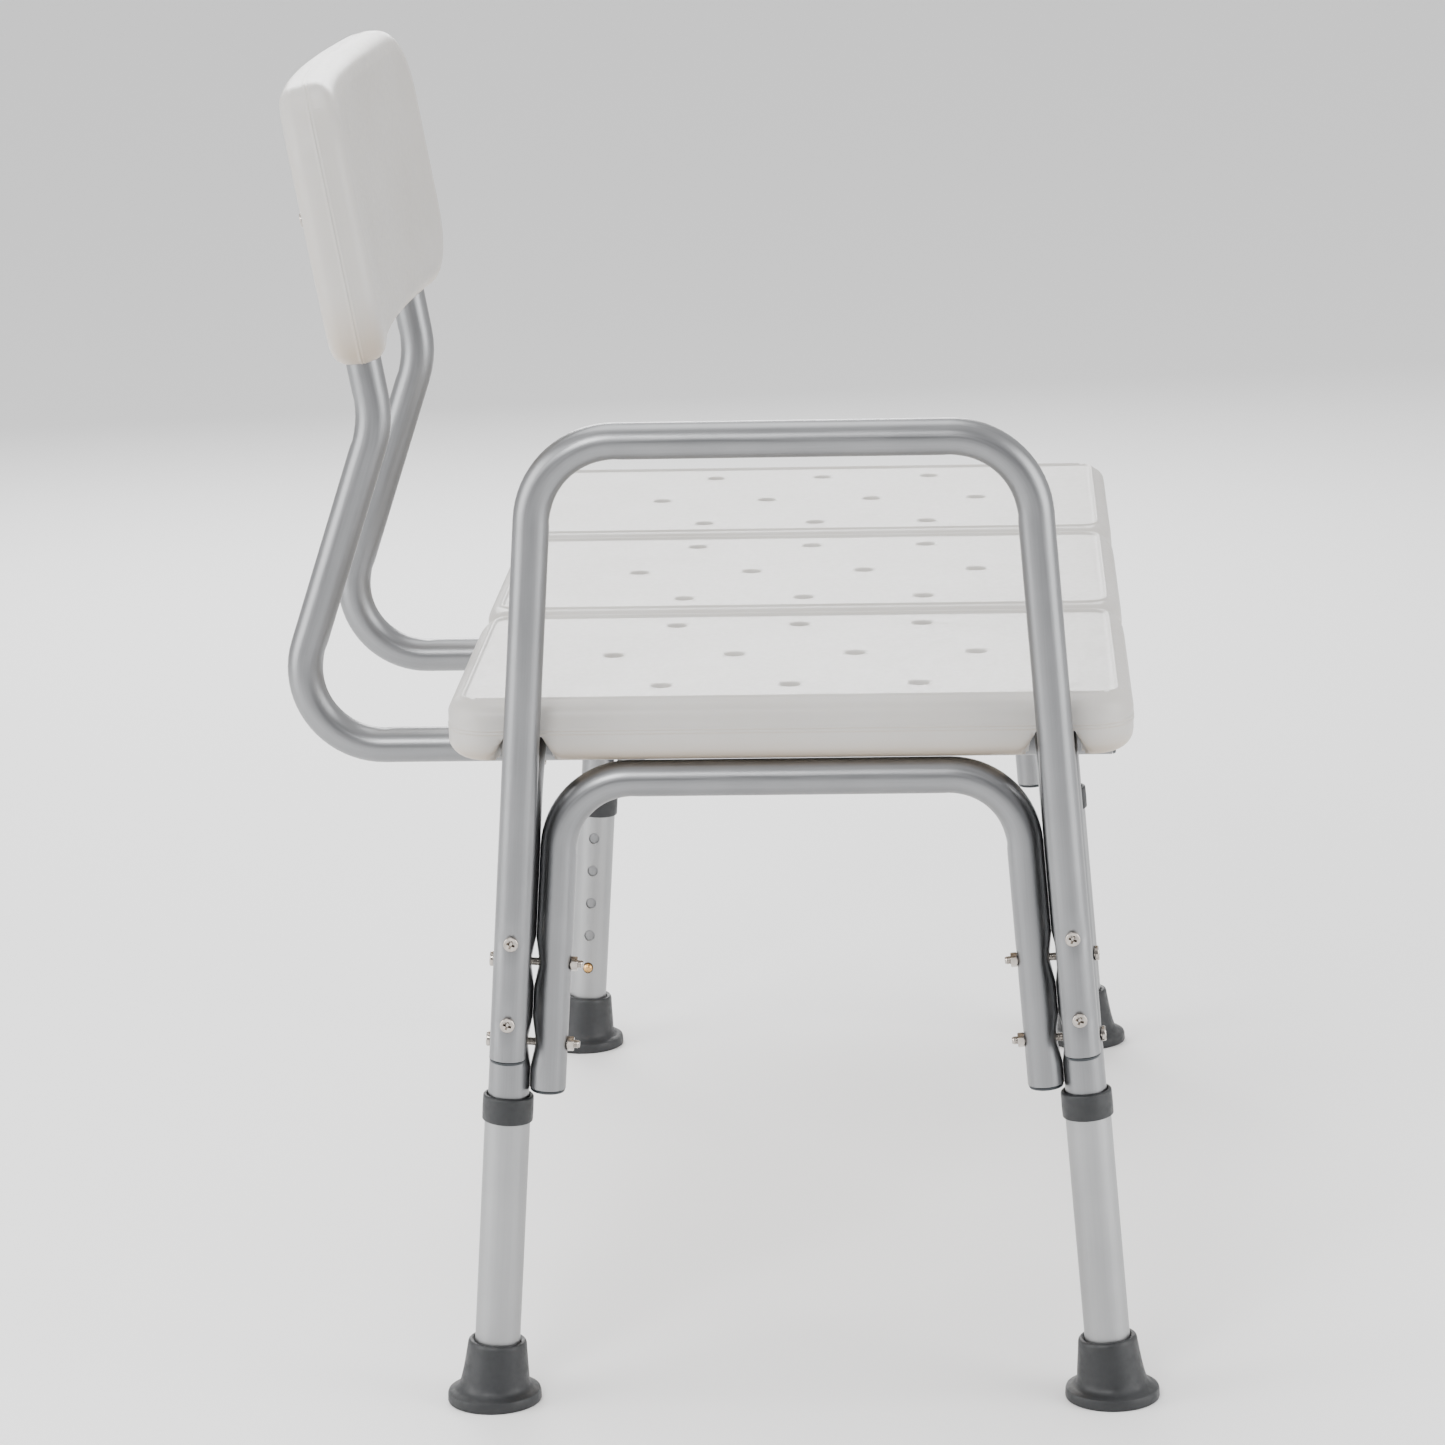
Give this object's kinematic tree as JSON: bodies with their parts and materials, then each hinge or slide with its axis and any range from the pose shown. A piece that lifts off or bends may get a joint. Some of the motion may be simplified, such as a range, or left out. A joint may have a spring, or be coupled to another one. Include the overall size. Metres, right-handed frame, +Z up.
{
  "type": "bath transfer bench",
  "caption": "Moulded bench seat with drain holes on a splayed tube frame, with a side arm, an offset backrest and height-adjustable rubber-tipped legs.",
  "frame": {"origin": "middle of the bounding box, on the floor", "axes": "+Z up; +X along the seat from the side arm to the open end; +Y towards the backrest"},
  "size_m": [0.8252, 0.5338, 0.8108],
  "materials": {
    "white_plastic": "moulded off-white polyethylene, satin with a fine texture",
    "aluminium_tube": "satin anodised",
    "leg_aluminium": "matt anodised",
    "grey_rubber": "matt charcoal",
    "dark_plug": "satin dark slate",
    "nickel_steel": "nickel plated",
    "brass_button": "satin"
  },
  "bodies": {
    "bench_frame": {"backrest": "white_plastic", "backrest_screw_arm_end": "nickel_steel", "backrest_screw_open_end": "nickel_steel", "backrest_tube_arm_end": "aluminium_tube", "backrest_tube_open_end": "aluminium_tube", "backrest_tube_plug_arm_end": "dark_plug", "backrest_tube_plug_open_end": "dark_plug", "brace_bolt_arm_end_back_1": "nickel_steel", "brace_bolt_arm_end_back_2": "nickel_steel", "brace_bolt_arm_end_front_1": "nickel_steel", "brace_bolt_arm_end_front_2": "nickel_steel", "brace_bolt_open_end_back_1": "nickel_steel", "brace_bolt_open_end_back_2": "nickel_steel", "brace_bolt_open_end_front_1": "nickel_steel", "brace_bolt_open_end_front_2": "nickel_steel", "brace_nut_arm_end_back_1": "nickel_steel", "brace_nut_arm_end_back_2": "nickel_steel", "brace_nut_arm_end_front_1": "nickel_steel", "brace_nut_arm_end_front_2": "nickel_steel", "brace_nut_open_end_back_1": "nickel_steel", "brace_nut_open_end_back_2": "nickel_steel", "brace_nut_open_end_front_1": "nickel_steel", "brace_nut_open_end_front_2": "nickel_steel", "end_brace_arm_end": "aluminium_tube", "end_brace_open_end": "aluminium_tube", "end_brace_plug_arm_end_back": "dark_plug", "end_brace_plug_arm_end_front": "dark_plug", "end_brace_plug_open_end_back": "dark_plug", "end_brace_plug_open_end_front": "dark_plug", "leg_frame_back": "aluminium_tube", "leg_frame_front": "aluminium_tube", "seat": "white_plastic", "seat_frame_bolt_arm_end_back": "nickel_steel", "seat_frame_bolt_arm_end_front": "nickel_steel", "seat_frame_bolt_open_end_back": "nickel_steel", "seat_frame_bolt_open_end_front": "nickel_steel", "side_arm": "aluminium_tube", "side_arm_plug_back": "dark_plug", "side_arm_plug_front": "dark_plug", "side_arm_screw_back_1": "nickel_steel", "side_arm_screw_back_2": "nickel_steel", "side_arm_screw_front_1": "nickel_steel", "side_arm_screw_front_2": "nickel_steel"},
    "leg_arm_end_front": {"lower_leg_arm_end_front": "leg_aluminium", "leg_collar_arm_end_front": "grey_rubber", "rubber_foot_arm_end_front": "grey_rubber"},
    "button_arm_end_front": {"snap_button_arm_end_front": "brass_button"},
    "leg_arm_end_back": {"lower_leg_arm_end_back": "leg_aluminium", "leg_collar_arm_end_back": "grey_rubber", "rubber_foot_arm_end_back": "grey_rubber"},
    "button_arm_end_back": {"snap_button_arm_end_back": "brass_button"},
    "leg_open_end_front": {"lower_leg_open_end_front": "leg_aluminium", "leg_collar_open_end_front": "grey_rubber", "rubber_foot_open_end_front": "grey_rubber"},
    "button_open_end_front": {"snap_button_open_end_front": "brass_button"},
    "leg_open_end_back": {"lower_leg_open_end_back": "leg_aluminium", "leg_collar_open_end_back": "grey_rubber", "rubber_foot_open_end_back": "grey_rubber"},
    "button_open_end_back": {"snap_button_open_end_back": "brass_button"}
  },
  "joints": [
    {"name": "height_arm_end_front", "type": "slide", "parent": "bench_frame", "child": "leg_arm_end_front", "axis": [0, -0.0753, -0.9972], "range_m": [0, 0.1016], "deforming": ["snap_button_arm_end_front"]},
    {"name": "press_arm_end_front", "type": "slide", "parent": "bench_frame", "child": "button_arm_end_front", "axis": [-1, 0, 0], "range_m": [0, 0.0042], "stiffness_N_per_m": 900, "springref_m": -0.001},
    {"name": "height_arm_end_back", "type": "slide", "parent": "bench_frame", "child": "leg_arm_end_back", "axis": [0, 0.0753, -0.9972], "range_m": [0, 0.1016], "deforming": ["snap_button_arm_end_back"]},
    {"name": "press_arm_end_back", "type": "slide", "parent": "bench_frame", "child": "button_arm_end_back", "axis": [-1, 0, 0], "range_m": [0, 0.0042], "stiffness_N_per_m": 900, "springref_m": -0.001},
    {"name": "height_open_end_front", "type": "slide", "parent": "bench_frame", "child": "leg_open_end_front", "axis": [0, -0.0753, -0.9972], "range_m": [0, 0.1016], "deforming": ["snap_button_open_end_front"]},
    {"name": "press_open_end_front", "type": "slide", "parent": "bench_frame", "child": "button_open_end_front", "axis": [1, 0, 0], "range_m": [0, 0.0042], "stiffness_N_per_m": 900, "springref_m": -0.001},
    {"name": "height_open_end_back", "type": "slide", "parent": "bench_frame", "child": "leg_open_end_back", "axis": [0, 0.0753, -0.9972], "range_m": [0, 0.1016], "deforming": ["snap_button_open_end_back"]},
    {"name": "press_open_end_back", "type": "slide", "parent": "bench_frame", "child": "button_open_end_back", "axis": [1, 0, 0], "range_m": [0, 0.0042], "stiffness_N_per_m": 900, "springref_m": -0.001}
  ]
}
